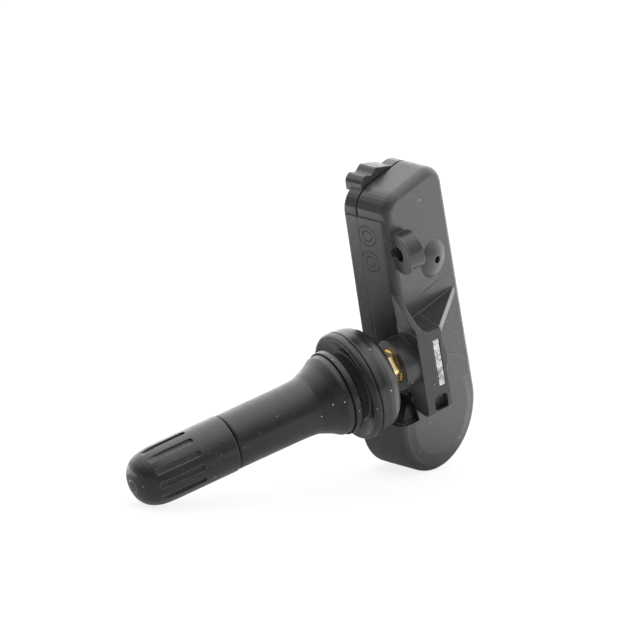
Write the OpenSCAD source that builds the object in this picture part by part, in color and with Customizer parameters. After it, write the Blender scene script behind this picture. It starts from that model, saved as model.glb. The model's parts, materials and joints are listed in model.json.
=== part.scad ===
// Tyre pressure sensor with a snap-in rubber valve stem.
// Body frame: X across the narrow body towards the stem, Y out of the bracket face, Z up the body,
// with its origin at the centre of the round battery end. The stem frame has X along the stem.
// The finished part lies as it rests on a table: on the round end and on the tip of the valve cap.
// Its origin is the centre of the rim seat on the stem axis.

/* [Body] */
// Radius of the round battery end
end_r = 10.17; // [9.7:0.05:10.8]
// Height from the battery centre to the top end of the body
body_h = 43.32; // [42.6:0.2:46]
// Whole thickness of the body, housing and lid
body_t = 9.03; // [8.9:0.05:9.6]
// Thickness of the lid
lid_t = 2.86; // [2.6:0.05:2.9]
// Distance of the stem side from the battery centre, at the foot of the neck
neck_foot = 6.2; // [6:0.1:7]
// Distance of the stem side from the battery centre, at the top
neck_top = 5.4; // [5.2:0.1:6]
// Radius of the two top corners
corner_r = 3.75; // [3:0.25:4.5]
// Rounding of the edge round the bracket face
edge_r = 1.5; // [0.8:0.1:1.7]
// Radius of the hollow blend from the round end into the neck
blend_r = 4; // [2:0.5:6]
// Step of the raised disc over the battery
disc_step = 0.2; // [0.1:0.05:0.5]

/* [Shell] */
// Wall round the battery
battery_wall = 1.72; // [1.4:0.02:1.8]
// Wall on the far side and at the top of the neck
neck_wall = 1.5; // [1.2:0.1:1.8]
// Wall on the stem side of the neck
stem_wall = 1.9; // [1.6:0.1:2.2]
// Floor under the battery and the circuit
floor_t = 1.4; // [1.2:0.05:1.5]
// Depth from the bracket face to the ledge that carries the circuit board
ledge_depth = 5; // [4.9:0.05:5.2]
// Wall of the lid
lid_wall = 1.6; // [1.2:0.1:1.8]
// Width of the joint between lid and housing along the sides
seam_side = 0.08; // [0.04:0.02:0.15]
// Width of the open joint between lid and housing over the top end
seam_top = 0.35; // [0.2:0.05:0.5]
// Height on the body where the recessed top panel starts
panel_z = 39.45; // [38.5:0.25:40]
// Depth of the step at the top panel
panel_step = 0.5; // [0.3:0.05:0.6]
// Distance between the two grip ridges on the top end of the lid
grip_pitch = 3; // [2.4:0.1:3.2]
// Height of the grip ridges above the lid's top end
grip_h = 1.7; // [1:0.1:2]
// Depth of the grooves beside the grip ridges
grip_groove = 0.6; // [0.3:0.05:0.8]
// How far the grip stands out behind the lid
grip_back = 0.8; // [0.4:0.1:1]

/* [Ports] */
// Distance of the pressure port from the battery centre, away from the stem
port_x = 4.38; // [4:0.1:4.7]
// Height of the pressure port above the battery centre
port_z = 27.6; // [26.5:0.1:29]
// Radius of the pressure port's dome
port_r = 3.27; // [2.6:0.1:3.5]
// Height of the pressure port's dome
port_h = 1; // [0.6:0.1:1.3]
// Diameter of the pressure hole
port_hole = 1.3; // [0.8:0.1:1.6]
// Height of the tool socket above the battery centre
socket_z = 33.7; // [32.5:0.1:34.5]
// Height of the socket's axis above the bracket face
socket_y = 2.69; // [2.4:0.05:2.9]
// Outer radius of the tool socket
socket_r = 3.24; // [2.8:0.1:3.4]
// Diameter of the hole in the tool socket
socket_hole = 2.7; // [1.6:0.1:2.9]
// Length of the tool socket
socket_len = 3.04; // [2.5:0.1:3.2]
// Station of the tool socket's front face
socket_front = 5.2; // [5:0.1:5.4]
// Width and height of the rim round the socket's front face
socket_rim = 0.35; // [0.2:0.05:0.5]

/* [Stem seat] */
// Angle between the stem axis and the bracket face
stem_angle = 19.87; // [18:0.25:22]
// Height of the stem axis above the battery centre
stem_z = 14.13; // [14:0.1:14.6]
// Height of the stem axis above the bracket face, at the battery centre line
stem_y = 2.41; // [2.2:0.05:2.6]
// Outer radius of the boss round the stem
boss_r = 4.44; // [4.2:0.1:4.6]
// Station of the boss's front face on the stem axis
boss_front = 9.48; // [9.2:0.1:10]
// Station of the blind end of the boss's bore
boss_back = 1.5; // [1.3:0.1:1.7]
// Height of the bracket bar's face above the stem axis
bar_h = 4.8; // [4.7:0.1:5.2]
// Length of the bar above the stem axis
bar_up = 6.2; // [5.8:0.1:6.6]
// Length of the bar below the stem axis
bar_down = 9.6; // [9.2:0.1:10]
// Depth of the open pocket beside the foot of the bar
side_pocket = 0.6; // [0.3:0.1:0.7]
// Station of the bar's edge on the stem side
bar_front = 6.75; // [6.6:0.05:7]
// Wall between the clip slot and the bar's far edge
bar_wall = 0.6; // [0.4:0.1:0.7]
// Thickness of the long gusset rib
rib_t = 1.35; // [1:0.1:1.5]
// Thickness of the short gusset rib, the fin on the stem side
fin_t = 1; // [0.8:0.1:1.2]
// Radius of the hollow blend between the fin and the bar
fin_blend = 1.7; // [1:0.1:2]
// Reach of the long gusset rib across the body, from the battery centre line
rib_reach = 8.5; // [7.5:0.25:8.6]
// Height on the body where the short gusset rib starts
fin_z = 12.4; // [11.5:0.1:13]

/* [Clip] */
// Thickness of the steel clip
clip_t = 1.1; // [0.9:0.1:1.2]
// Width of the steel clip
clip_w = 8.7; // [8:0.1:9]
// Station of the clip's middle on the stem axis
clip_at = 3.4; // [3.3:0.05:3.5]
// Clearance of the clip in its slot
clip_gap = 0.15; // [0.1:0.05:0.2]
// Depth of the clip's legs below the stem axis
clip_leg = 3.5; // [3:0.1:3.6]

/* [Rubber stem] */
// Station of the rubber's back face on the stem axis
rubber_back = 12.6; // [12.4:0.1:13]
// Largest radius of the flange inside the rim
flange_r = 9.15; // [8.8:0.05:9.5]
// Length of the flange's rim along the axis
flange_len = 4.2; // [3.8:0.1:4.6]
// Station of the middle of the rim seat
seat_at = 18.8; // [18.6:0.1:19.2]
// Radius at the root of the seat, which fits a rim hole of twice this
seat_r = 5.75; // [5.6:0.05:5.9]
// Width of the rim seat
seat_w = 2.3; // [1.8:0.1:2.6]
// Radius of the shoulder outside the rim
shoulder_r = 7.25; // [6.8:0.1:7.6]
// Radius of the long rubber sleeve
sleeve_r = 4.8; // [4.6:0.05:5]
// Station of the rubber's outer end
rubber_end = 42.24; // [41.5:0.25:43]
// Gap drawn between bonded rubber and brass
bond_gap = 0.02; // [0.01:0.01:0.04]

/* [Brass stem] */
// Radius of the brass in the boss
brass_r = 2.95; // [2.8:0.05:3]
// Clearance of the brass in the boss
brass_gap = 0.1; // [0.05:0.05:0.15]
// Radius of the neck that the clip holds
neck_r = 2; // [1.9:0.05:2.1]
// Radius of the threaded outer end, at the middle of its thread
thread_r = 3.65; // [3.55:0.05:3.7]
// Station of the mouth
mouth = 55.5; // [55.3:0.1:55.7]
// Radius of the long air passage
air_r = 1.4; // [1.2:0.1:1.5]
// Station of the cross hole that lets the air into the tyre
cross_at = 11.3; // [11.1:0.1:11.6]
// Diameter of the cross hole
cross_hole = 1.5; // [1.2:0.1:1.6]
// Distance across the wrench flats
across_flats = 5.4; // [5.2:0.1:5.6]

/* [Valve core] */
// Radius of the core's threaded head
head_r = 2.55; // [2.5:0.05:2.6]
// Length of the core's threaded head
head_len = 4.8; // [4.5:0.1:5]
// Depth of the head below the mouth
head_drop = 0.5; // [0.3:0.1:0.8]
// Radius of the core's barrel
barrel_r = 1.75; // [1.7:0.05:1.8]
// Length of the core's barrel
barrel_len = 11.6; // [11.2:0.1:12]
// Wall of the core's barrel
barrel_wall = 0.4; // [0.3:0.05:0.45]
// Radius of the core's pin
pin_r = 0.45; // [0.4:0.05:0.5]
// Depth of the pin's tip below the mouth
pin_drop = 0.25; // [0.15:0.05:0.4]
// Travel of the pin
pin_travel = 1.1; // [0.9:0.1:1.2]
// Running clearance of the pin
pin_gap = 0.1; // [0.08:0.01:0.12]
// Radius of the spring's wire
wire_r = 0.16; // [0.14:0.01:0.18]
// Number of turns of the spring
spring_turns = 8; // [6:1:10]

/* [Valve cap] */
// Radius of the cap
cap_r = 4.88; // [4.75:0.05:5]
// Length of the cap
cap_len = 17.8; // [17.5:0.1:18.5]
// Gap between the cap and the rubber
cap_gap = 0.15; // [0.1:0.05:0.25]
// Running clearance between the cap and the brass thread
thread_gap = 0.1; // [0.08:0.01:0.12]
// Length of the domed crown
crown_len = 8.2; // [7:0.2:9]
// Number of grip flutes
flutes = 12; // [8:1:14]
// Width of one flute
flute_w = 1.05; // [0.8:0.05:1.2]
// Depth of the flutes
flute_d = 0.4; // [0.2:0.05:0.5]
// Length of the flutes
flute_len = 9; // [6:0.5:9.5]
// Distance of the flutes' outer ends from the cap's tip
flute_in = 2.4; // [2:0.1:3.5]
// Thickness of the cap's rubber seal
cap_seal_t = 1.2; // [0.8:0.1:1.4]

/* [Electronics] */
// Radius of the coin cell
cell_r = 8; // [7.9:0.05:8.05]
// Least clearance round the coin cell
cell_gap = 0.3; // [0.2:0.05:0.4]
// Thickness of the coin cell
cell_t = 3.2; // [3:0.05:3.25]
// Thickness of the battery tabs
tab_t = 0.15; // [0.1:0.01:0.15]
// Thickness of the circuit board
board_t = 0.8; // [0.6:0.1:1]
// Clearance round the circuit board
board_gap = 0.25; // [0.15:0.05:0.4]
// Side of the square sensor chip
chip_w = 6.6; // [6:0.1:7]
// Height of the sensor chip
chip_h = 2.2; // [1.8:0.1:2.3]
// Length of the receiving coil
coil_len = 7.2; // [6:0.1:8]
// Width of the receiving coil
coil_w = 2.6; // [2:0.1:3]
// Radius of the antenna wire
antenna_r = 0.3; // [0.25:0.05:0.35]

/* [Hidden] */
$fn = 96;
eps = 0.01;
far = 30;
housing_t = body_t - lid_t;
arc_steps = 6;

// Pocket, board and cell, as depths below the bracket face
pocket_r = end_r - battery_wall;
cell_top = floor_t + tab_t;
cell_fit = min(cell_r, pocket_r - cell_gap);
board_top = ledge_depth;
board_r = pocket_r - board_gap;
pocket_left = -end_r + neck_wall;
pocket_right = neck_top - stem_wall;
pocket_top = body_h - neck_wall - 0.3;
board_left = pocket_left + board_gap;
board_right = pocket_right - board_gap;
board_z = pocket_top - board_gap;
upper_pocket_z = stem_z + bar_up + 0.6;

// Places of the coil and the small parts on the board, and the size of one capacitor
coil_x = pocket_right - coil_w / 2 - 1;
coil_z = pocket_top - coil_len - 4.9;
cheek = 0.8;
small_z = pocket_top - 8.1;
small_x = pocket_left + 2.3;
cap_long = 1.6;
cap_short = 0.8;

// Clip and its slot
slot_t = clip_t + 2 * clip_gap;
slot_w = clip_w + 2 * clip_gap;
slot_back = clip_at - slot_t / 2;
slot_front = clip_at + slot_t / 2;
bar_back = slot_back - bar_wall;

// Brass bore and valve core stations
bore_r = brass_r + brass_gap;
head_front = mouth - head_drop;
head_back = head_front - head_len;
barrel_back = head_back - barrel_len;
barrel_bore = barrel_r - barrel_wall;
shoulder_t = 1;
gasket_front = head_back - 2.4;
gasket_len = 1.9;
gasket_r = 1.95;
chamber_back = barrel_back - 3.2;
collar_r = 1.15;
collar_t = 0.6;
spring_room = 6;
spring_back = barrel_back + shoulder_t + eps;
spring_front = spring_back + spring_room;
collar_back = spring_front + pin_travel + pin_gap;
seal_t = 1.3;
seal_r = 1.45;
pin_back = barrel_back - seal_t - 0.5;

// Cap stations
cap_open = rubber_end + cap_gap;
cap_tip = cap_open + cap_len;
cap_bore = thread_r + thread_gap;
cap_floor = mouth + pin_gap + cap_seal_t;

// Rubber stations
flange_top = rubber_back + flange_len;
seat_back = seat_at - seat_w / 2;
seat_front = seat_at + seat_w / 2;

// Radius of the cap's crown at a share x of its length, from its foot to its tip
function crown(x) = cap_r * pow(1 - pow(x, 4), 0.42);
crown_shares = [for (i = [0 : 13]) sin(i * 90 / 13 * 0.985)];
crown_points = [for (x = crown_shares) [crown(x), cap_tip - crown_len + x * crown_len]];

// The resting tilt: the round end and the crown of the cap touch one flat surface.
function slope(tilt) = cos(stem_angle) * sin(tilt);
function reach(tilt) =
    max([for (p = crown_points) p[1] * slope(tilt) + p[0] * sqrt(1 - pow(slope(tilt), 2))]);
function clearance(tilt) = end_r + stem_z * cos(tilt) - reach(tilt);
function find_tilt(low, high, steps) =
    steps == 0 ? (low + high) / 2 :
    clearance((low + high) / 2) > 0 ? find_tilt((low + high) / 2, high, steps - 1) :
    find_tilt(low, (low + high) / 2, steps - 1);
rest_tilt = find_tilt(5, 40, 24);
seat_point = [
    seat_at * cos(stem_angle),
    stem_y - seat_at * sin(stem_angle),
    stem_z
];

// Points on an arc about a centre
function arc(centre, r, from, to, steps = arc_steps) =
    [for (i = [0 : steps]) centre + r * [cos(from + (to - from) * i / steps),
                                         sin(from + (to - from) * i / steps)]];

// Puts a piece of the body frame where it rests
module at_rest() {
    rotate([0, rest_tilt, 0]) translate(-seat_point) children();
}

// Puts a piece of the stem frame into the body frame
module on_stem() {
    translate([0, stem_y, stem_z]) rotate([0, 0, -stem_angle]) children();
}

// A solid of revolution about the stem axis, from points of radius and station
module turned(points) {
    rotate([0, 90, 0]) rotate_extrude() polygon(points);
}

// A ring about the stem axis, from station a to station b
module ring(r, a, b, hole = 0) {
    rotate([0, 90, 0]) translate([0, 0, a]) difference() {
        cylinder(r = r, h = b - a);
        if (hole > 0) translate([0, 0, -eps]) cylinder(r = hole, h = b - a + 2 * eps);
    }
}

// A plate in the plane of the body, from depth a to depth b below the bracket face
module plate(a, b) {
    translate([0, -a, 0]) rotate([90, 0, 0]) linear_extrude(b - a) children();
}

// The body's outline, drawn in by an inset: round end, hollow blend and two top corners
function outline(inset) =
    let (
        blend = [neck_foot + blend_r, sqrt(pow(end_r + blend_r, 2) - pow(neck_foot + blend_r, 2))],
        meet = atan2(blend[1], blend[0]),
        top = body_h - corner_r
    ) concat(
        arc([0, 0], end_r - inset, 180, 360 + meet, 48),
        arc(blend, blend_r + inset, 180 + meet, 180),
        arc([neck_top - corner_r, top], corner_r - inset, 0, 90, 8),
        arc([corner_r - end_r, top], corner_r - inset, 90, 180, 8)
    );

// A rounded edge as levels of depth and inset, from just outside the face at depth a inwards
function round_levels(a, r, way) = concat(
    [[a - way * 0.03 * r, 1.07 * r]],
    [for (i = [1 : arc_steps]) let (t = 90 * i / arc_steps) [a + way * r * (1 - cos(t)), r * (1 - sin(t))]]
);

// A block of the body's outline between depths a and b, skinned over levels of depth and inset
module body_block(a, b, levels) {
    loops = [for (l = levels) [for (p = outline(l[1])) [p[0], -l[0], p[1]]]];
    n = len(loops[0]);
    rows = len(loops);
    points = [for (loop = loops) for (p = loop) p];
    start = [for (i = [0 : n - 1]) i];
    finish = [for (i = [n - 1 : -1 : 0]) (rows - 1) * n + i];
    skin = [for (k = [0 : rows - 2]) for (i = [0 : n - 1])
        let (j = (i + 1) % n, near = k * n, next = (k + 1) * n) [near + i, next + i, next + j, near + j]];
    intersection() {
        polyhedron(points, concat([start], skin, [finish]));
        translate([-far, -b, -far]) cube([2 * far, b - a, far + 2 * body_h]);
    }
}

// The slightly raised disc over the battery, with its step across the neck
module battery_disc() {
    rim = end_r - edge_r;
    translate([0, -0.3, 0]) rotate([-90, 0, 0]) rotate_extrude()
        polygon([[0, 0], [rim - 0.1, 0], [rim - 0.1, 0.3], [rim - 1.6, 0.3 + disc_step],
                 [0, 0.3 + disc_step]]);
    plate(-disc_step, 0.3) intersection() {
        circle(r = end_r - 0.02);
        translate([0.1 - rim, 3]) square([rim + neck_foot - edge_r - 0.3, end_r]);
    }
}

// The half-sunk bar that holds the clip, with its pocket and its two gusset ribs
module bracket() {
    foot = [
        [bar_h, bar_up], [bar_h, -bar_down + 1], [bar_h - 1, -bar_down], [-3.2, -bar_down],
        [-3.2, bar_up]
    ];
    on_stem() translate([bar_back, 0, 0]) rotate([90, 0, 90])
        linear_extrude(bar_front - bar_back) polygon(foot);
    fin = [[-3, fin_z], [-2.2, fin_z], [bar_h - 0.1, bar_up + 0.8], [bar_h - 0.1, bar_up - 1.2], [-3, 2]];
    inner = bar_front - fin_t;
    on_stem() translate([inner, 0, 0]) rotate([90, 0, 90]) linear_extrude(fin_t - 0.08) polygon(fin);
    on_stem() intersection() {
        translate([inner - fin_blend, 0, 0]) rotate([90, 0, 90])
            linear_extrude(fin_blend + fin_t / 2) polygon(fin);
        translate([inner - fin_blend, bar_h, bar_up - 0.5]) rotate([90, 0, 0]) linear_extrude(bar_h + 3)
            difference() {
                square([fin_blend + fin_t, 0.4 + fin_blend]);
                translate([0, 0.4 + fin_blend]) circle(r = fin_blend);
            }
    }
    rib_rise = bar_h + 1.1;
    translate([0, 0, stem_z + bar_up - rib_t - 0.15]) linear_extrude(rib_t)
        polygon([[-rib_reach, -1], [-rib_reach, 0], [3.2, rib_rise - 0.25], [4.4, rib_rise - 0.4],
                 [4.4, -1]]);
}

// What is cut from the bracket: the open pocket beside the bar's foot and the window in the bar's face
module bracket_cuts() {
    pocket_up = stem_z - boss_r - 0.15;
    beside = [
        [7.4, pocket_up], [5.95, pocket_up - 5], [5.65, pocket_up - 7.6], [far, pocket_up - 3],
        [far, pocket_up]
    ];
    plate(-0.3, side_pocket) polygon(beside);
    plate(-0.3, housing_t - lid_t) difference() {
        polygon(beside);
        circle(r = pocket_r + 0.9);
    }
    window = 0.6;
    on_stem() translate([2.85, bar_h + 1, 0.8 - bar_down]) rotate([90, 0, 0]) linear_extrude(2.5)
        translate([window, window]) offset(r = window) square([2.6 - 2 * window, 2.9 - 2 * window]);
}

// The socket beside the top of the neck that a tool holds
module socket() {
    translate([0, socket_y, socket_z]) rotate([0, 0, -stem_angle]) {
        ring(socket_r, socket_front - socket_len, socket_front - 0.02);
        ring(socket_r + socket_rim, socket_front - socket_rim, socket_front);
    }
}

// The outline of the space inside the body
module pocket_2d() {
    circle(r = pocket_r);
    translate([pocket_left, 0]) square([pocket_right - pocket_left, pocket_top]);
}

// The low dome over the pressure port
module pressure_dome() {
    dome_r = (port_r * port_r + port_h * port_h) / (2 * port_h);
    rim = asin(port_r / dome_r);
    translate([-port_x, 0, port_z]) rotate([-90, 0, 0]) rotate_extrude()
        polygon(concat([[0, -0.5], [port_r, -0.5]], arc([0, port_h - dome_r], dome_r, 90 - rim, 90)));
}

module housing() {
    color("dimgray") at_rest() difference() {
        union() {
            body_block(0, housing_t, concat(round_levels(0, edge_r, 1), [[body_t, 0]]));
            battery_disc();
            pressure_dome();
            on_stem() ring(boss_r, boss_back, boss_front);
            socket();
            bracket();
        }
        // Inside: the battery's pocket, the board's bed and the deep upper pocket
        plate(floor_t, ledge_depth + 1) circle(r = pocket_r);
        plate(ledge_depth, far) pocket_2d();
        plate(floor_t, ledge_depth + 1) translate([pocket_left, upper_pocket_z])
            square([pocket_right - pocket_left, pocket_top - upper_pocket_z]);
        translate([neck_top - panel_step / 2, -far, panel_z]) cube([far, 2 * far, far]);
        translate([-port_x, 0, port_z]) plate(-far, floor_t + 1) circle(d = port_hole);
        on_stem() ring(bore_r, boss_back + 0.2, far);
        on_stem() translate([slot_back, -clip_leg - clip_gap, -slot_w / 2]) cube([slot_t, far, slot_w]);
        translate([0, socket_y, socket_z]) rotate([0, 0, -stem_angle])
            ring(socket_hole / 2, socket_front - socket_len + 0.5, socket_front + 0.6);
        bracket_cuts();
    }
}

// The grip on the lid's top end: two ridges, two grooves and a long slope to the lid
function grip_outline() = concat(
    [[-1.8 * grip_pitch, -0.8], [-1.8 * grip_pitch, 0]],
    [for (i = [-12 : 10]) let (x = i * grip_pitch / 12)
        [x, grip_h - grip_groove * (1 + cos(360 * x / grip_pitch)) / 2]],
    [[0.92 * grip_pitch, grip_h - grip_groove - 0.4], [0.93 * grip_pitch, -0.8]]
);

module lid() {
    rounded = round_levels(body_t, 0.5, -1);
    lid_edge = [for (i = [arc_steps : -1 : 0]) rounded[i]];
    color("dimgray") at_rest() difference() {
        union() {
            body_block(housing_t + seam_side, body_t, concat([[0, 0]], lid_edge));
            translate([0, 0, body_h]) plate(housing_t, body_t + grip_back) polygon(grip_outline());
        }
        plate(0, body_t - lid_wall) pocket_2d();
        translate([-far, -housing_t - seam_top, panel_z]) cube([2 * far, far, far]);
        translate([neck_top - panel_step / 2, -far, panel_z]) cube([far, 2 * far, far]);
    }
}

module retaining_clip() {
    grip = neck_r + 0.08;
    color("silver") at_rest() on_stem() translate([clip_at - clip_t / 2, 0, 0]) rotate([90, 0, 90])
        linear_extrude(clip_t) difference() {
            translate([-clip_leg, -clip_w / 2]) square([clip_leg + bar_h - 0.05, clip_w]);
            circle(r = grip);
            translate([-clip_leg - 1, -grip]) square([clip_leg + 1, 2 * grip]);
        }
}

module rubber_stem() {
    inner = brass_r + bond_gap;
    outer = [
        [flange_r - 2.4, rubber_back], [flange_r - 1.5, rubber_back + 0.45],
        [flange_r - 0.75, rubber_back + 1.2], [flange_r - 0.25, rubber_back + 2.1],
        [flange_r, rubber_back + 3], [flange_r + 0.05, flange_top - 0.4],
        [flange_r + 0.2, flange_top + 0.6], [flange_r + 0.1, flange_top + 0.75],
        [flange_r + 0.22, flange_top + 1], [flange_r + 0.1, flange_top + 1.7],
        [flange_r - 0.15, flange_top + 2.05], [flange_r - 0.5, flange_top + 2.15],
        [seat_r + 1.6, flange_top + 1.4], [seat_r + 0.25, seat_back],
        [seat_r, seat_back + 0.3], [seat_r, seat_front - 0.3], [seat_r + 0.3, seat_front],
        [shoulder_r - 0.2, seat_front], [shoulder_r, seat_front + 0.3],
        [shoulder_r - 0.05, seat_front + 1.45], [shoulder_r - 0.35, seat_front + 1.5],
        [shoulder_r - 0.4, seat_front + 2.5], [sleeve_r + 1.25, seat_front + 3.85],
        [sleeve_r + 0.7, seat_front + 5.15], [sleeve_r + 0.2, seat_front + 6.45],
        [sleeve_r + 0.06, seat_front + 8], [sleeve_r, seat_front + 10],
        [sleeve_r - 0.06, rubber_end - 0.3], [sleeve_r - 0.3, rubber_end]
    ];
    color("#2b2c2e") at_rest() on_stem()
        turned(concat([[inner, rubber_back]], outer, [[inner, rubber_end]]));
}

module brass_stem() {
    back = boss_back + 0.4;
    groove_back = clip_at - clip_t / 2 - 0.12;
    groove_front = clip_at + clip_t / 2 + 0.12;
    flat_back = boss_front + 0.1;
    color("goldenrod") at_rest() on_stem() difference() {
        union() {
            turned([
                [0, back], [brass_r - 0.3, back], [brass_r, back + 0.3], [brass_r, groove_back],
                [neck_r, groove_back], [neck_r, groove_front], [brass_r, groove_front],
                [brass_r, rubber_end + 0.02], [thread_r - 0.25, rubber_end + 0.3],
                [thread_r, rubber_end + 0.7], [thread_r, mouth - 0.5],
                [thread_r - 0.5, mouth], [0, mouth]
            ]);
        }
        // Wrench flats beside the rubber
        for (turn = [40, 100, 160]) rotate([turn, 0, 0]) for (side = [-1, 1])
            translate([flat_back, side * (across_flats / 2 + 2), 0])
                translate([0, -2, -far]) cube([rubber_back - flat_back - 0.35, 4, 2 * far]);
        // Core chamber, seat taper and air passage
        turned([
            [0, cross_at - 0.9], [air_r, cross_at], [air_r, chamber_back - 1.2],
            [gasket_r, chamber_back], [gasket_r, gasket_front - gasket_len],
            [head_r + pin_gap, head_back - 0.2], [head_r + pin_gap, mouth + 1], [0, mouth + 1]
        ]);
        translate([cross_at, 0, 0]) rotate([19, 0, 0]) cylinder(d = cross_hole, h = far, center = true);
    }
}

module core_head() {
    hole = pin_r + pin_gap;
    color("gold") at_rest() on_stem() difference() {
        turned([
            [hole, head_back], [head_r - 0.3, head_back], [head_r, head_back + 0.3],
            [head_r, head_front - 0.3], [head_r - 0.3, head_front], [hole, head_front]
        ]);
        for (side = [-1, 1]) translate([head_back + 1.6, side * 2 - 1, -far])
            cube([far, 2, 2 * far]);
    }
}

module core_barrel() {
    color("gold") at_rest() on_stem() turned([
        [pin_r + 0.35, barrel_back], [barrel_r - 0.25, barrel_back],
        [barrel_r, barrel_back + 0.3], [barrel_r, gasket_front - gasket_len],
        [barrel_r - 0.15, gasket_front - gasket_len], [barrel_r - 0.15, gasket_front],
        [barrel_r, gasket_front], [barrel_r, head_back], [barrel_bore, head_back],
        [barrel_bore, barrel_back + shoulder_t], [pin_r + 0.35, barrel_back + shoulder_t]
    ]);
}

module core_gasket() {
    inner = barrel_r - 0.15;
    color("firebrick") at_rest() on_stem() turned([
        [inner, gasket_front - gasket_len], [barrel_r + 0.05, gasket_front - gasket_len],
        [gasket_r + 0.15, gasket_front - 0.2], [gasket_r + 0.1, gasket_front], [inner, gasket_front]
    ]);
}

module core_pin() {
    tip = mouth - pin_drop;
    color("gold") at_rest() on_stem() turned([
        [0, pin_back], [pin_r + 0.3, pin_back], [pin_r + 0.3, pin_back + 0.4],
        [pin_r, pin_back + 0.4], [pin_r, collar_back], [collar_r, collar_back],
        [collar_r, collar_back + collar_t - 0.2], [pin_r, collar_back + collar_t],
        [pin_r, tip - 0.2], [pin_r - 0.2, tip], [0, tip]
    ]);
}

module core_seal() {
    front = barrel_back - 0.05;
    color("black") at_rest() on_stem() turned([
        [pin_r + bond_gap, front - seal_t + 0.05], [seal_r - 0.3, front - seal_t + 0.05],
        [seal_r, front - seal_t + 0.4], [seal_r, front - 0.1], [seal_r - 0.1, front],
        [pin_r + bond_gap, front]
    ]);
}

// A round wire wound on a helix about the stem axis
module core_spring() {
    ring_sides = 8;
    per_turn = 16;
    coil_r = collar_r - wire_r - 0.04;
    rings = spring_turns * per_turn;
    rise = (spring_front - spring_back - 2 * wire_r) / rings;
    points = [for (i = [0 : rings]) for (j = [0 : ring_sides - 1])
        let (turn = i * 360 / per_turn, roll = j * 360 / ring_sides, r = coil_r + wire_r * cos(roll))
        [spring_back + wire_r + i * rise + wire_r * sin(roll), r * cos(turn), r * sin(turn)]];
    start = [for (j = [0 : ring_sides - 1]) j];
    finish = [for (j = [ring_sides - 1 : -1 : 0]) rings * ring_sides + j];
    skin = [for (i = [0 : rings - 1]) for (j = [0 : ring_sides - 1])
        let (k = (j + 1) % ring_sides, a = i * ring_sides, b = (i + 1) * ring_sides)
        [a + j, b + j, b + k, a + k]];
    color("silver") at_rest() on_stem() polyhedron(points, concat([start], skin, [finish]));
}

module valve_cap() {
    flute_far = cap_tip - flute_in;
    first_flute = 8.5;
    color("#303133") at_rest() on_stem() difference() {
        turned(concat(
            [[cap_bore, cap_open], [cap_r - 0.12, cap_open], [cap_r, cap_open + 0.12]],
            crown_points, [[0, cap_tip - 0.1], [0, cap_floor], [cap_bore, cap_floor]]
        ));
        for (i = [0 : flutes - 1]) rotate([first_flute + i * 360 / flutes, 0, 0])
            translate([0, cap_r - flute_d, 0]) rotate([-90, 0, 0]) linear_extrude(2) union() {
                translate([flute_far - flute_len + flute_w / 2, -flute_w / 2])
                    square([flute_len - flute_w, flute_w]);
                for (x = [flute_far - flute_len + flute_w / 2, flute_far - flute_w / 2])
                    translate([x, 0]) circle(d = flute_w);
            }
    }
}

module cap_seal() {
    color("#3a3a3a") at_rest() on_stem() ring(cap_bore - 0.05, mouth + pin_gap, cap_floor - eps);
}

module battery() {
    color("silver") at_rest() union() {
        plate(cell_top, cell_top + cell_t - 0.5) circle(r = cell_fit);
        plate(cell_top, cell_top + cell_t) circle(r = cell_fit - 1.1);
    }
}

module positive_tab() {
    out = pocket_r - 0.2;
    color("gainsboro") at_rest() union() {
        translate([-out, 0, -1.5]) translate([0, -cell_top, 0]) cube([out - 3, tab_t, 3]);
        translate([-out, -board_top, -1.2]) cube([tab_t, board_top - floor_t, 2.4]);
    }
}

module negative_tab() {
    face = cell_top + cell_t;
    color("gainsboro") at_rest() union() {
        translate([-1.5, -face - tab_t, -1]) cube([3, tab_t, 7]);
        translate([-1.5, -board_top, 5]) cube([3, board_top - face, 1]);
    }
}

module circuit_board() {
    color("seagreen") at_rest() plate(board_top, board_top + board_t) union() {
        circle(r = board_r);
        translate([board_left, 0]) square([board_right - board_left, board_z]);
    }
}

module sensor_chip() {
    color("#1d1d1f") at_rest() difference() {
        translate([-port_x - chip_w / 2, -board_top, port_z - chip_w / 2])
            cube([chip_w, chip_h, chip_w]);
        translate([-port_x, 0, port_z]) plate(0, board_top - chip_h + 0.6) circle(d = 2);
    }
}

module port_gasket() {
    color("#70767c") at_rest() translate([-port_x, 0, port_z])
        plate(floor_t, board_top - chip_h) difference() {
            circle(r = 2.3);
            circle(d = port_hole);
        }
}

module coil_core() {
    color("#3b3a38") at_rest() translate([coil_x - coil_w / 2, -board_top, coil_z]) union() {
        cube([coil_w, coil_w, cheek]);
        translate([0, 0, coil_len - cheek]) cube([coil_w, coil_w, cheek]);
        translate([0.7, 0.7, 0]) cube([coil_w - 1.4, coil_w - 1.4, coil_len]);
    }
}

module coil_winding() {
    color("#b5651d") at_rest() difference() {
        translate([coil_x - coil_w / 2 + 0.2, 0.2 - board_top, coil_z + cheek])
            cube([coil_w - 0.4, coil_w - 0.4, coil_len - 2 * cheek]);
        translate([coil_x - coil_w / 2 + 0.7, 0.7 - board_top, coil_z])
            cube([coil_w - 1.4, coil_w - 1.4, coil_len]);
    }
}

module crystal() {
    color("silver") at_rest() translate([small_x, -board_top, small_z]) cube([3.2, cap_short, 2.5]);
}

module capacitors() {
    places = [[-1, 3.8], [1.2, 3.8], [3.4, 3.8], [5.6, 4.9], [4, 0.2], [4, 1.8]];
    color("tan") at_rest() for (p = places) translate([small_x + p[0], -board_top, small_z + p[1]])
        cube([cap_long, cap_short, cap_short]);
}

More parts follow.
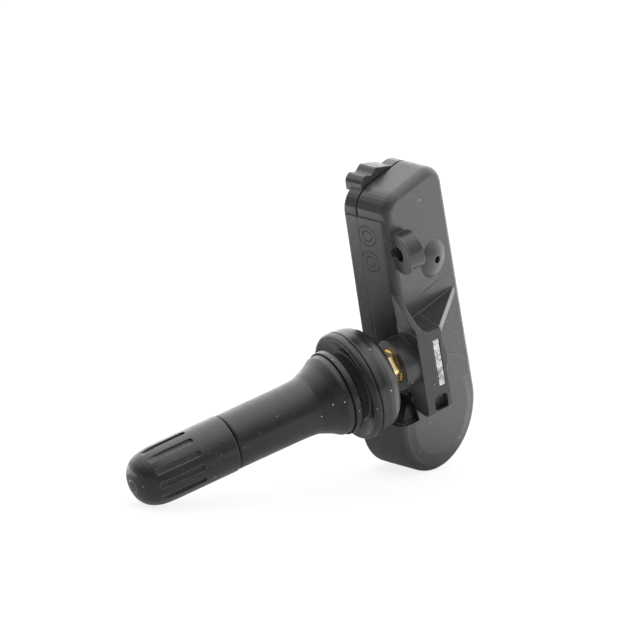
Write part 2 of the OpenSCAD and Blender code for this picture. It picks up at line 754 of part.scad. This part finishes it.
// A wire arch that stands on the board at its two feet
module antenna_wire() {
    left = board_left + 0.7;
    right = board_right - 0.5;
    top = board_top - 2.6;
    z = board_z - 0.8;
    bend = 1;
    color("#c8c2b0") at_rest() translate([0, 0, z]) union() {
        for (x = [left, right]) translate([x, -board_top, 0]) rotate([-90, 0, 0])
            cylinder(r = antenna_r, h = board_top - top - bend);
        translate([left + bend, -top, 0]) rotate([0, 90, 0])
            cylinder(r = antenna_r, h = right - left - 2 * bend);
        translate([left + bend, -top - bend, 0])
            rotate([0, 0, 90]) rotate_extrude(angle = 90) translate([bend, 0]) circle(r = antenna_r);
        translate([right - bend, -top - bend, 0])
            rotate_extrude(angle = 90) translate([bend, 0]) circle(r = antenna_r);
    }
}

housing();
lid();
retaining_clip();
rubber_stem();
brass_stem();
core_head();
core_barrel();
core_gasket();
core_pin();
core_seal();
core_spring();
valve_cap();
cap_seal();
battery();
positive_tab();
negative_tab();
circuit_board();
sensor_chip();
port_gasket();
coil_core();
coil_winding();
crystal();
capacitors();
antenna_wire();
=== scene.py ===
import json
import math

import bmesh
import bpy
from mathutils import Matrix, Vector


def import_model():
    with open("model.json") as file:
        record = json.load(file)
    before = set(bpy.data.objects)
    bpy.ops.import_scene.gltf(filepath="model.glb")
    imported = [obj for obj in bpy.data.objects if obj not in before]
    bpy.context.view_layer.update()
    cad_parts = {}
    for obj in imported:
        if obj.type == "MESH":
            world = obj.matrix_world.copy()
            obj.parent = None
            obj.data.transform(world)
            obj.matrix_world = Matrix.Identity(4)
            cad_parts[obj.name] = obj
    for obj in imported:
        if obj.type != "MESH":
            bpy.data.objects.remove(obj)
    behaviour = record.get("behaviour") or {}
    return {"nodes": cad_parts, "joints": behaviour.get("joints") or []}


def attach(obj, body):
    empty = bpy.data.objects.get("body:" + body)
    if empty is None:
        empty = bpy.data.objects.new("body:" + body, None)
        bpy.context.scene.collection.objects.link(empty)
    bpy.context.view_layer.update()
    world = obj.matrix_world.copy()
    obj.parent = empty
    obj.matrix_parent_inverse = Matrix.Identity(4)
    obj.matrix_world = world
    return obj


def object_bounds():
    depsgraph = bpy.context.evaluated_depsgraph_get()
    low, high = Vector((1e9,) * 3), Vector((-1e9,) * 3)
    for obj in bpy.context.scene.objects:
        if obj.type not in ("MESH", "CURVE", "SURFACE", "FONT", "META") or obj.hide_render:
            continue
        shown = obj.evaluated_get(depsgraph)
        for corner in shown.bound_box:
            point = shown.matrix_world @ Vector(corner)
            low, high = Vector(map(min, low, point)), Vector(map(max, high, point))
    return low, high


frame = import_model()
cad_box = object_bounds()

# Places are in millimetres in the body frame: X across the neck towards the stem, Y out of the
# bracket face, Z up the body, from the centre of the round battery end. The stem frame has X along the stem.
MM = 0.001
STEM_ANGLE = math.radians(19.87)
STEM_Y = 2.41
STEM_Z = 14.13
BODY_T = 9.03
THREAD_R = 3.65
THREAD_PITCH = 0.794

# Places along the stem's axis, from where it crosses X = 0 of the body frame
LIP_LINE = 17.52
SEAT_AT = 18.8
SHOULDER_LINE = 21.43
RUBBER_END = 42.24
MOUTH = 55.5
CAP_TIP = 60.19

# The resting tilt follows from the stem axis that the record gives.
stem_axis = Vector(next(j for j in frame["joints"] if j["name"] == "cap_travel")["axis"]).normalized()
tilt = math.atan2(-stem_axis.z, stem_axis.x)
seat = Vector((SEAT_AT * math.cos(STEM_ANGLE), STEM_Y - SEAT_AT * math.sin(STEM_ANGLE), STEM_Z))
BODY = Matrix.Scale(MM, 4) @ Matrix.Rotation(tilt, 4, "Y") @ Matrix.Translation(-seat)
STEM = BODY @ Matrix.Translation((0, STEM_Y, STEM_Z)) @ Matrix.Rotation(-STEM_ANGLE, 4, "Z")

ROOT = "sensor"

# The studio: where the bright sweep stands, and how bright it and the dim front are
BRIGHT_SIDE = (-0.55, -0.3, 0.75)
BRIGHT = 2.6
DIM = 0.14

# Painted light in the table, which glows only for the part's gloss: its bright side and that of the glowing
# patch beside the cap's tip
FLOOR_SIDE = (-0.9, 0.15)
FLOOR_BRIGHT = 1.9
FLOOR_DIM = 0.55
TIP_GLOW = (0.045, -0.07)
TIP_BRIGHT = 3.6
CAMERA_GLOW = 0.85

# The photo's camera in the body frame, in millimetres, and its focal length in pixels
CAMERA_AT = (661.219, 584.896, 531.511)
CAMERA_RIGHT = (-0.603269, 0.783420, -0.149397)
CAMERA_DOWN = (0.479442, 0.206541, -0.852922)
FOCAL_PX = 6183.92
PICTURE_PX = 640

MARK_DEPTH = 0.00008
SPECULAR = 0.5


class Nodes:
    """A node material that is built up call by call."""

    def __init__(self, name):
        self.material = bpy.data.materials.new(name)
        self.material.use_nodes = True
        self.tree = self.material.node_tree
        self.shader = self.tree.nodes["Principled BSDF"]
        coords = self.tree.nodes.new("ShaderNodeTexCoord")
        self.place = coords.outputs["Object"]

    def link(self, source, target):
        self.tree.links.new(source, target)

    def noise(self, scale, detail=3.0, roughness=0.5):
        node = self.tree.nodes.new("ShaderNodeTexNoise")
        node.inputs["Scale"].default_value = scale
        node.inputs["Detail"].default_value = detail
        node.inputs["Roughness"].default_value = roughness
        self.link(self.place, node.inputs["Vector"])
        return node.outputs["Fac"]

    def cells(self, scale):
        """Distance to the nearest of scattered points, and a random share for each of them."""
        node = self.tree.nodes.new("ShaderNodeTexVoronoi")
        node.inputs["Scale"].default_value = scale
        self.link(self.place, node.inputs["Vector"])
        split = self.tree.nodes.new("ShaderNodeSeparateColor")
        self.link(node.outputs["Color"], split.inputs[0])
        return node.outputs["Distance"], split.outputs[0]

    def math(self, operation, a, b=None):
        node = self.tree.nodes.new("ShaderNodeMath")
        node.operation = operation
        for value, socket in ((a, node.inputs[0]), (b, node.inputs[1])):
            if isinstance(value, (float, int)):
                socket.default_value = value
            elif value is not None:
                self.link(value, socket)
        return node.outputs[0]

    def vector(self, operation, a, b=None):
        """A vector operation on a with a fixed or linked b."""
        node = self.tree.nodes.new("ShaderNodeVectorMath")
        node.operation = operation
        self.link(a, node.inputs[0])
        if isinstance(b, (tuple, Vector)):
            node.inputs[1].default_value = b
        elif b is not None:
            self.link(b, node.inputs[1])
        return node.outputs[0] if operation in ("ADD", "CROSS_PRODUCT") else node.outputs["Value"]

    def body_place(self):
        """The place in millimetres in the body frame, as three values."""
        turn = self.tree.nodes.new("ShaderNodeMapping")
        turn.inputs["Rotation"].default_value = (0, -tilt, 0)
        turn.inputs["Scale"].default_value = (1 / MM, 1 / MM, 1 / MM)
        self.link(self.place, turn.inputs["Vector"])
        split = self.tree.nodes.new("ShaderNodeSeparateXYZ")
        self.link(self.vector("ADD", turn.outputs[0], seat), split.inputs[0])
        return split.outputs

    def stem_place(self):
        """The place along the stem from the rim seat and the distance from its axis, in metres."""
        off = self.vector("LENGTH", self.vector("CROSS_PRODUCT", self.place, stem_axis))
        return self.vector("DOT_PRODUCT", self.place, stem_axis), off

    def both(self, a, b):
        return self.math("MULTIPLY", a, b)

    def distance_2d(self, a, b):
        return self.math("SQRT", self.math("ADD", self.both(a, a), self.both(b, b)))

    def within(self, value, low, high):
        return self.both(self.math("GREATER_THAN", value, low), self.math("LESS_THAN", value, high))

    def band(self, value, middle, half):
        """1 on a line of some width at a value, falling to 0 at its sides."""
        off = self.math("ABSOLUTE", self.math("SUBTRACT", value, middle))
        return self.math("MAXIMUM", self.math("SUBTRACT", 1.0, self.math("DIVIDE", off, half)), 0.0)

    def ramp(self, value, low, high, from_rgb, to_rgb):
        node = self.tree.nodes.new("ShaderNodeValToRGB")
        node.color_ramp.elements[0].position = low
        node.color_ramp.elements[1].position = high
        node.color_ramp.elements[0].color = (*from_rgb, 1)
        node.color_ramp.elements[1].color = (*to_rgb, 1)
        self.link(value, node.inputs["Fac"])
        return node.outputs["Color"]

    def mix(self, share, a, b):
        node = self.tree.nodes.new("ShaderNodeMix")
        node.data_type = "RGBA"
        self.link(share, node.inputs[0])
        for value, socket in ((a, node.inputs[6]), (b, node.inputs[7])):
            if isinstance(value, tuple):
                socket.default_value = (*value, 1)
            else:
                self.link(value, socket)
        return node.outputs[2]

    def mix_value(self, share, a, b):
        """a where the share is 0, b where it is 1."""
        return self.math("ADD", self.both(a, self.math("SUBTRACT", 1.0, share)), self.both(share, b))

    def span(self, value, from_low, from_high, low, high):
        node = self.tree.nodes.new("ShaderNodeMapRange")
        limits = {"From Min": from_low, "From Max": from_high, "To Min": low, "To Max": high}
        for name, number in limits.items():
            node.inputs[name].default_value = number
        self.link(value, node.inputs["Value"])
        return node.outputs["Result"]

    def bump(self, height, distance, strength=1.0, onto=None):
        node = self.tree.nodes.new("ShaderNodeBump")
        node.inputs["Distance"].default_value = distance
        node.inputs["Strength"].default_value = strength
        self.link(height, node.inputs["Height"])
        if onto is not None:
            self.link(onto, node.inputs["Normal"])
        return node.outputs["Normal"]

    def dust(self, colour, scale, size, share, tint):
        """Sparse pale specks of dust over a colour. The size is the largest radius as a share of a cell."""
        distance, chance = self.cells(scale)
        speck = self.math("LESS_THAN", distance, self.both(chance, size / share))
        return self.mix(self.both(speck, self.math("LESS_THAN", chance, share)), colour, tint)

    def soft_edges(self, radius, samples=6):
        """A normal that rounds the edges off."""
        node = self.tree.nodes.new("ShaderNodeBevel")
        node.samples = samples
        node.inputs["Radius"].default_value = radius
        return node.outputs[0]

    def painted_edge_highlight(self, soft):
        """Where a painted highlight goes: 1 at an edge, where the softened normal leaves the surface's own,
        and 0 on a face.
        """
        own = self.tree.nodes.new("ShaderNodeNewGeometry")
        return self.span(self.vector("DOT_PRODUCT", own.outputs["Normal"], soft), 0.995, 0.93, 0.0, 1.0)

    def finish(self, colour, roughness, normal=None, **sockets):
        for value, name in ((colour, "Base Color"), (roughness, "Roughness")):
            if isinstance(value, (float, int)):
                self.shader.inputs[name].default_value = value
            elif isinstance(value, tuple):
                self.shader.inputs[name].default_value = (*value, 1)
            else:
                self.link(value, self.shader.inputs[name])
        if normal is not None:
            self.link(normal, self.shader.inputs["Normal"])
        for name, value in sockets.items():
            self.shader.inputs[name.replace("_", " ")].default_value = value
        return self.material


def moulded_plastic(name, dark, light, rough, grain, marks):
    """Grained plastic with dust and painted highlights on its edges, and with the marks of the body or of the
    cap; the body's marks include painted shade in the open pocket.
    """
    m = Nodes(name)
    colour = m.mix(m.noise(1500, 5, 0.75), dark, light)
    colour = m.dust(colour, 900, 0.1, 0.3, (0.5, 0.5, 0.48))
    colour = m.dust(colour, 2600, 0.2, 0.5, (0.17, 0.17, 0.17))
    roughness = m.span(m.noise(900, 5), 0.3, 0.7, rough - 0.05, rough + 0.07)
    soft = m.soft_edges(0.00022)
    # Painted highlight: the edges are mixed towards a paler grey.
    colour = m.mix(m.both(m.painted_edge_highlight(soft), 0.7), colour, (0.11, 0.112, 0.115))
    normal = m.bump(m.noise(9000, 2), grain, 1.0, soft)
    normal = m.bump(m.noise(1100, 2), 0.00002, 0.5, normal)
    if marks == "body":
        # Painted shade: the open pocket is painted near black, and most of its gloss is taken away.
        pocket_shade = pocket_painted_shade(m)
        colour = m.mix(pocket_shade, colour, (0.01, 0.01, 0.01))
        m.link(m.mix_value(pocket_shade, SPECULAR, 0.1), m.shader.inputs["Specular IOR Level"])
        normal = m.bump(mould_marks(m), -MARK_DEPTH, 1.0, normal)
    if marks == "cap":
        ring = tip_ring(m)
        colour = m.mix(ring, colour, (0.1, 0.1, 0.1))
        normal = m.bump(ring, -0.00015, 1.0, normal)
    return m.finish(colour, roughness, normal)


def pocket_painted_shade(m):
    """The mask of painted shade in the open pocket beside the foot of the bar, where shadow falls."""
    x, y, z = m.body_place()
    inside = m.both(m.within(y, -3.6, -0.12), m.within(z, 1.9, 9.68))
    inside = m.both(inside, m.math("LESS_THAN", m.distance_2d(x, z), 9.95))
    inside = m.both(inside, m.math("GREATER_THAN", x, 5.4))
    above_edge = m.math("SUBTRACT", z, m.both(x, 0.2))
    return m.both(inside, m.math("GREATER_THAN", above_edge, 1.0))


def mould_marks(m):
    """Fine lines of the mould: one across the bracket face and two bare round inserts on the side."""
    x, y, z = m.body_place()
    on_face = m.both(m.within(y, -0.05, 0.05), m.within(x, -9.0, -0.4))
    line = m.both(m.band(z, 23.2, 0.09), on_face)
    on_side = m.within(x, 4.5, 7.0)
    for middle_z, middle_y in ((36.24, -4.6), (31.46, -4.6)):
        away = m.distance_2d(m.math("SUBTRACT", z, middle_z), m.math("SUBTRACT", y, middle_y))
        for radius in (1.8, 0.95):
            line = m.math("MAXIMUM", line, m.both(m.band(away, radius, 0.12), on_side))
    return line


def tip_ring(m):
    """The small bare ring on the tip of the cap, where it was moulded."""
    along, off = m.stem_place()
    at_tip = m.math("GREATER_THAN", along, (CAP_TIP - SEAT_AT - 2) * MM)
    return m.both(m.band(off, 0.00115, 0.00028), at_tip)


def rubber_crease_shade(m):
    """Painted shade in the fine grooves behind the flange's lip and at the shoulder's step."""
    along, off = m.stem_place()
    lip = m.both(m.band(along, (LIP_LINE - SEAT_AT) * MM, 0.00022), m.math("GREATER_THAN", off, 0.0088))
    step = m.both(m.band(along, (SHOULDER_LINE - SEAT_AT) * MM, 0.00013), m.math("GREATER_THAN", off, 0.0062))
    return m.math("MAXIMUM", lip, step)


def soft_rubber():
    """Dusty rubber, with painted light that makes it paler in the rim groove and painted shade in fine dark
    lines at its steps.
    """
    m = Nodes("stem_rubber")
    colour = m.mix(m.noise(300, 4), (0.0095, 0.011, 0.0115), (0.016, 0.0175, 0.018))
    colour = m.dust(colour, 850, 0.1, 0.28, (0.6, 0.6, 0.58))
    colour = m.dust(colour, 2000, 0.12, 0.4, (0.09, 0.09, 0.09))
    along, off = m.stem_place()
    # Painted light: the rubber in the rim groove is made paler than elsewhere, though it is one colour.
    groove_painted_light = m.both(m.within(along, -0.0013, 0.0013), m.math("LESS_THAN", off, 0.0063))
    colour = m.mix(groove_painted_light, colour, (0.045, 0.048, 0.049))
    # Painted shade: the step lines are painted near black and lose their gloss.
    crease_shade = rubber_crease_shade(m)
    colour = m.mix(crease_shade, colour, (0.001, 0.001, 0.001))
    m.link(m.mix_value(crease_shade, SPECULAR, 0.0), m.shader.inputs["Specular IOR Level"])
    roughness = m.span(m.noise(600, 5), 0.3, 0.7, 0.26, 0.4)
    normal = m.bump(m.noise(5000, 3), 0.000005, 1.0, m.soft_edges(0.0006, 16))
    return m.finish(colour, roughness, normal)


def turned_brass():
    m = Nodes("turned_brass")
    colour = m.mix(m.noise(700, 4), (0.82, 0.61, 0.28), (0.93, 0.75, 0.42))
    roughness = m.span(m.noise(2500, 3), 0.3, 0.7, 0.16, 0.3)
    return m.finish(colour, roughness, m.bump(m.noise(4000, 2), 0.000005), Metallic=1.0)


def sheared_steel():
    m = Nodes("sheared_steel")
    torn = m.ramp(m.noise(900, 6, 0.7), 0.38, 0.6, (0.16, 0.155, 0.15), (0.8, 0.8, 0.78))
    roughness = m.span(m.noise(1800, 4), 0.3, 0.7, 0.22, 0.5)
    return m.finish(torn, roughness, m.bump(m.noise(1000, 6, 0.7), 0.00025), Metallic=1.0)


def plain(name, a, b, rough, scale=900, metallic=0.0):
    """A material between two colours with a little grain, for the hidden pieces."""
    m = Nodes(name)
    colour = m.mix(m.noise(scale, 3), a, b)
    roughness = m.span(m.noise(scale * 2, 3), 0.3, 0.7, rough - 0.05, rough + 0.08)
    return m.finish(colour, roughness, m.bump(m.noise(scale * 4, 2), 0.00001), Metallic=metallic)


def dress_nodes():
    """Gives each CAD node its material, and returns them by node."""
    housing = moulded_plastic("housing_plastic", (0.02, 0.022, 0.0235), (0.041, 0.043, 0.045), 0.33,
                              0.00001, "body")
    cap = moulded_plastic("cap_plastic", (0.012, 0.0135, 0.0145), (0.018, 0.02, 0.021), 0.3, 0.000004, "cap")
    rubber = soft_rubber()
    brass = turned_brass()
    steel = sheared_steel()
    cell = plain("cell_steel", (0.55, 0.55, 0.54), (0.72, 0.72, 0.7), 0.28, 700, 1.0)
    looks = {
        "housing": housing, "lid": housing, "valve_cap": cap, "rubber_stem": rubber,
        "retaining_clip": steel, "brass_stem": brass, "core_head": brass, "core_barrel": brass,
        "core_pin": brass, "core_seal": rubber, "cap_seal": rubber, "port_gasket": rubber,
        "core_spring": cell, "battery": cell, "positive_tab": cell, "negative_tab": cell,
        "crystal": cell, "antenna_wire": cell,
        "core_gasket": plain("red_gasket", (0.32, 0.03, 0.02), (0.45, 0.06, 0.04), 0.5),
        "circuit_board": plain("solder_mask", (0.01, 0.1, 0.04), (0.02, 0.17, 0.07), 0.35),
        "sensor_chip": plain("chip_epoxy", (0.02, 0.02, 0.02), (0.04, 0.04, 0.04), 0.5),
        "coil_core": plain("ferrite", (0.05, 0.05, 0.05), (0.09, 0.09, 0.09), 0.55),
        "coil_winding": plain("winding", (0.42, 0.14, 0.05), (0.6, 0.24, 0.09), 0.35, 2500),
        "capacitors": plain("ceramic", (0.42, 0.32, 0.2), (0.58, 0.47, 0.33), 0.45),
    }
    for name, material in looks.items():
        mesh = frame["nodes"][name].data
        mesh.materials.clear()
        mesh.materials.append(material)
    return looks


def new_object(name, mesh, material, body):
    obj = bpy.data.objects.new(name, mesh)
    bpy.context.scene.collection.objects.link(obj)
    mesh.materials.append(material)
    for polygon in mesh.polygons:
        polygon.use_smooth = True
    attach(obj, body)
    return obj


def tube_mesh(name, points, radius, place, sides):
    """A thin closed tube along points, moved by a matrix."""
    bm = bmesh.new()
    last = len(points) - 1
    turns = [2 * math.pi * k / sides for k in range(sides)]
    rings = []
    for i, point in enumerate(points):
        ahead = points[min(i + 1, last)] - points[max(i - 1, 0)]
        ahead.normalize()
        side = ahead.cross(Vector((0.31, 0.87, 0.38))).normalized()
        up = ahead.cross(side)
        rings.append([bm.verts.new(place @ (point + radius * (math.cos(t) * side + math.sin(t) * up)))
                      for t in turns])
    for a, b in zip(rings, rings[1:]):
        for k in range(sides):
            bm.faces.new((a[k], a[(k + 1) % sides], b[(k + 1) % sides], b[k]))
    bm.faces.new(rings[0])
    bm.faces.new(list(reversed(rings[-1])))
    bmesh.ops.recalc_face_normals(bm, faces=bm.faces)
    mesh = bpy.data.meshes.new(name)
    bm.to_mesh(mesh)
    bm.free()
    return mesh


def brass_thread(brass):
    """The fine thread on the brass end, as a low ridge wound over the plain cylinder."""
    start, stop = RUBBER_END + 1.0, MOUTH - 0.7
    middle = THREAD_R - 0.12
    per_turn = 24
    points = []
    for i in range(int((stop - start) / THREAD_PITCH * per_turn) + 1):
        turn = 2 * math.pi * i / per_turn
        along = start + THREAD_PITCH * i / per_turn
        points.append(Vector((along, middle * math.cos(turn), middle * math.sin(turn))))
    mesh = tube_mesh("stem_thread", points, 0.2, STEM, 6)
    return new_object("stem_thread", mesh, brass, ROOT)


def camera():
    """The photo's own view, fitted to the outlines of the body, flange and cap."""
    turn = Matrix.Rotation(tilt, 3, "Y")
    right = (turn @ Vector(CAMERA_RIGHT)).normalized()
    up = -(turn @ Vector(CAMERA_DOWN)).normalized()
    back = right.cross(up).normalized()
    data = bpy.data.cameras.new("camera")
    data.sensor_width = 36
    data.sensor_fit = "HORIZONTAL"
    data.lens = FOCAL_PX / PICTURE_PX * data.sensor_width
    data.clip_start = 0.01
    data.clip_end = 20
    obj = bpy.data.objects.new("camera", data)
    bpy.context.scene.collection.objects.link(obj)
    matrix = Matrix((right, up, back)).transposed().to_4x4()
    matrix.translation = BODY @ Vector(CAMERA_AT)
    obj.matrix_world = matrix
    bpy.context.scene.camera = obj


def side_light():
    """A soft light from the bracket's side, which the gloss doesn't show."""
    data = bpy.data.lights.new("right", "AREA")
    data.shape = "RECTANGLE"
    data.size, data.size_y = 0.7, 0.5
    data.energy = 3.0
    obj = bpy.data.objects.new("right", data)
    bpy.context.scene.collection.objects.link(obj)
    obj.location = (-0.2, 0.85, 0.4)
    obj.rotation_euler = (-obj.location).to_track_quat("-Z", "Y").to_euler()
    obj.visible_glossy = False


def world():
    """A bright sweep behind and above the part over a dim front; the camera sees plain white."""
    scene_world = bpy.data.worlds.new("studio")
    bpy.context.scene.world = scene_world
    scene_world.use_nodes = True
    tree = scene_world.node_tree
    light = tree.nodes["Background"]
    coords = tree.nodes.new("ShaderNodeTexCoord")
    towards = tree.nodes.new("ShaderNodeVectorMath")
    towards.operation = "DOT_PRODUCT"
    towards.inputs[1].default_value = Vector(BRIGHT_SIDE).normalized()
    tree.links.new(coords.outputs["Generated"], towards.inputs[0])
    share = tree.nodes.new("ShaderNodeMapRange")
    share.interpolation_type = "SMOOTHSTEP"
    for name, number in (("From Min", -0.15), ("From Max", 0.95), ("To Min", DIM), ("To Max", BRIGHT)):
        share.inputs[name].default_value = number
    tree.links.new(towards.outputs["Value"], share.inputs["Value"])
    tree.links.new(share.outputs["Result"], light.inputs["Strength"])
    light.inputs["Color"].default_value = (1, 1, 1, 1)
    seen = tree.nodes.new("ShaderNodeBackground")
    seen.inputs["Color"].default_value = (1, 1, 1, 1)
    path = tree.nodes.new("ShaderNodeLightPath")
    mix = tree.nodes.new("ShaderNodeMixShader")
    tree.links.new(path.outputs["Is Camera Ray"], mix.inputs[0])
    tree.links.new(light.outputs[0], mix.inputs[1])
    tree.links.new(seen.outputs[0], mix.inputs[2])
    tree.links.new(mix.outputs[0], tree.nodes["World Output"].inputs["Surface"])


def painted_floor_glow(m, low):
    """Painted light in the table as the part's gloss sees it: it glows bright on one side, with painted
    shadow at the round end's foot.
    """
    side = Vector((*FLOOR_SIDE, 0)).normalized()
    foot = BODY @ Vector((0, -BODY_T / 2, 0))
    pool = m.span(m.vector("DOT_PRODUCT", m.place, side), -0.015, 0.07, FLOOR_DIM, FLOOR_BRIGHT)
    # Painted shadow: the glow falls to a fifth at the round end's foot.
    from_foot = m.vector("DISTANCE", m.place, (foot.x, foot.y, low))
    pool = m.both(pool, m.span(from_foot, 0.004, 0.03, 0.2, 1.0))
    # Painted highlight: a brighter glowing patch beside the cap's tip, which the tip's gloss shows.
    from_tip = m.vector("DISTANCE", m.place, (*TIP_GLOW, low))
    return m.math("MAXIMUM", pool, m.span(from_tip, 0.022, 0.048, TIP_BRIGHT, 0.0))


def floor():
    """A white table top. Part of the white that the camera sees is its own, which keeps shadows faint, and
    for the part's gloss it glows with painted light.
    """
    low = cad_box[0][2]
    half = 3.0
    mesh = bpy.data.meshes.new("floor")
    mesh.from_pydata([(-half, -half, low), (half, -half, low), (half, half, low), (-half, half, low)],
                     [], [(0, 1, 2, 3)])
    obj = bpy.data.objects.new("floor", mesh)
    bpy.context.scene.collection.objects.link(obj)
    m = Nodes("floor")
    m.finish((0.9, 0.9, 0.9), 0.8)
    m.shader.inputs["Specular IOR Level"].default_value = 0.0
    path = m.tree.nodes.new("ShaderNodeLightPath")
    glow = m.tree.nodes.new("ShaderNodeEmission")
    m.link(m.mix_value(path.outputs["Is Camera Ray"], painted_floor_glow(m, low), 1.0), glow.inputs["Strength"])
    camera_share = m.both(path.outputs["Is Camera Ray"], CAMERA_GLOW)
    mix = m.tree.nodes.new("ShaderNodeMixShader")
    m.link(m.math("MAXIMUM", camera_share, path.outputs["Is Glossy Ray"]), mix.inputs[0])
    m.link(m.shader.outputs[0], mix.inputs[1])
    m.link(glow.outputs[0], mix.inputs[2])
    m.link(mix.outputs[0], m.tree.nodes["Material Output"].inputs["Surface"])
    mesh.materials.append(m.material)


camera()
world()
side_light()
floor()
looks = dress_nodes()
brass_thread(looks["brass_stem"])

bpy.context.scene.view_settings.view_transform = "Standard"

bpy.context.view_layer.update()
